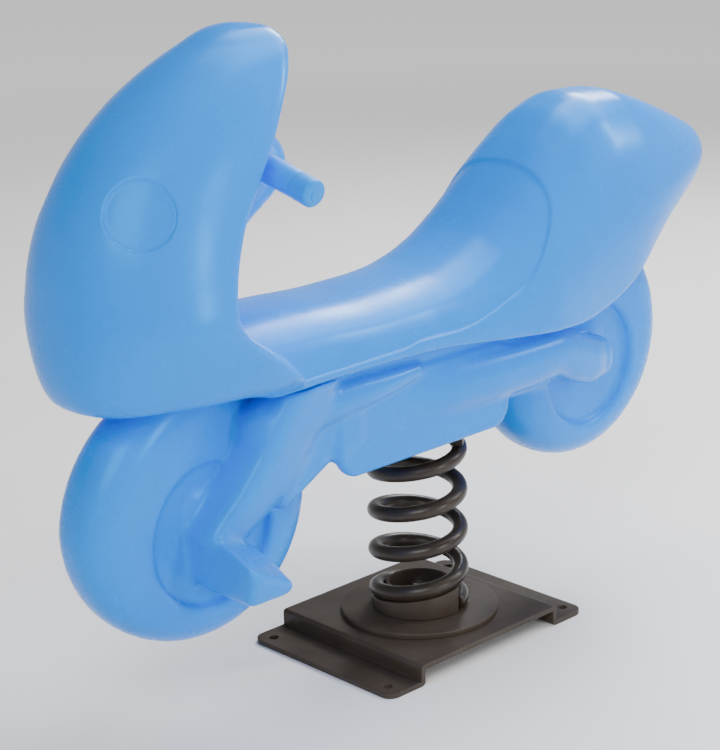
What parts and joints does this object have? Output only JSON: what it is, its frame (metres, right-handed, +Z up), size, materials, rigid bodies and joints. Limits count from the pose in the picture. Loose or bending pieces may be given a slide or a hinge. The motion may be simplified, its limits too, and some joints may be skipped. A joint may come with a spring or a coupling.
{
  "type": "spring rider",
  "caption": "Playground spring rider shaped as a small motorcycle: hollow moulded body with seat, handlebar and foot pegs on a coil spring and a hat-section base plate.",
  "frame": {"origin": "on the spring's axis, at the underside of the base plate's flanges", "axes": "+Z up; -Y towards the nose, +Y towards the tail; +X to the rider's left"},
  "size_m": [0.2608, 0.98, 0.736],
  "materials": {
    "blue_plastic": "sky blue rotationally moulded polyethylene, satin to gloss, faint mould texture",
    "grip_plastic": "sky blue moulded grip plastic, satin",
    "coated_steel": "dark warm brown coating, semi-gloss, slightly uneven",
    "spring_steel": "dark warm brown coating over spring wire, semi-gloss",
    "zinc_steel": "bright zinc plating",
    "brass": "plain machined brass"
  },
  "bodies": {
    "base": {"base_plate": "coated_steel", "spring_seat_disc": "coated_steel", "lower_spring_seat": "coated_steel", "lower_spring_cup": "coated_steel", "base_washer_1": "zinc_steel", "base_washer_2": "zinc_steel", "base_washer_3": "zinc_steel", "base_washer_4": "zinc_steel", "base_bolt_1": "zinc_steel", "base_bolt_2": "zinc_steel", "base_bolt_3": "zinc_steel", "base_bolt_4": "zinc_steel", "base_nut_1": "zinc_steel", "base_nut_2": "zinc_steel", "base_nut_3": "zinc_steel", "base_nut_4": "zinc_steel", "spring_lower_end": "spring_steel"},
    "spring_bounce_part": {"spring_turn_1": "spring_steel"},
    "spring_pitch_part": {"spring_turn_2": "spring_steel"},
    "spring_roll_part": {"spring_turn_3": "spring_steel"},
    "rider": {"spring_upper_end": "spring_steel", "upper_spring_seat": "coated_steel", "upper_spring_cup": "coated_steel", "body_mounting_plate": "coated_steel", "body_washer_1": "zinc_steel", "body_washer_2": "zinc_steel", "body_washer_3": "zinc_steel", "body_washer_4": "zinc_steel", "body_bolt_1": "zinc_steel", "body_bolt_2": "zinc_steel", "body_bolt_3": "zinc_steel", "body_bolt_4": "zinc_steel", "body_insert_1": "brass", "body_insert_2": "brass", "body_insert_3": "brass", "body_insert_4": "brass", "shell_bolt_1": "zinc_steel", "shell_bolt_2": "zinc_steel", "shell_bolt_3": "zinc_steel", "shell_bolt_4": "zinc_steel", "shell_insert_1": "brass", "shell_insert_2": "brass", "shell_insert_3": "brass", "shell_insert_4": "brass", "lower_body_shell": "blue_plastic", "upper_body_shell": "blue_plastic", "handlebar_tube": "zinc_steel", "left_grip": "grip_plastic", "right_grip": "grip_plastic", "left_grip_cap": "grip_plastic", "right_grip_cap": "grip_plastic"}
  },
  "joints": [
    {"name": "bounce", "type": "slide", "parent": "base", "child": "spring_bounce_part", "axis": [0, 0, 1], "range_m": [-0.015, 0.008], "stiffness_N_per_m": 246000, "springref_m": 0.00066, "deforming": ["spring_lower_end", "spring_turn_1"]},
    {"name": "pitch", "type": "hinge", "parent": "spring_bounce_part", "child": "spring_pitch_part", "pos_m": [0, 0, 0.155], "axis": [1, 0, 0], "range_deg": [-15, 12], "stiffness_Nm_per_rad": 680, "springref_deg": -0.74, "deforming": ["spring_turn_2"]},
    {"name": "roll", "type": "hinge", "parent": "spring_pitch_part", "child": "spring_roll_part", "pos_m": [0, 0, 0.155], "axis": [0, 1, 0], "range_deg": [-10, 10], "stiffness_Nm_per_rad": 680, "deforming": ["spring_turn_3"]},
    {"name": "twist", "type": "hinge", "parent": "spring_roll_part", "child": "rider", "pos_m": [0, 0, 0.155], "axis": [0, 0, 1], "range_deg": [-8, 8], "stiffness_Nm_per_rad": 780, "deforming": ["spring_upper_end"]}
  ]
}
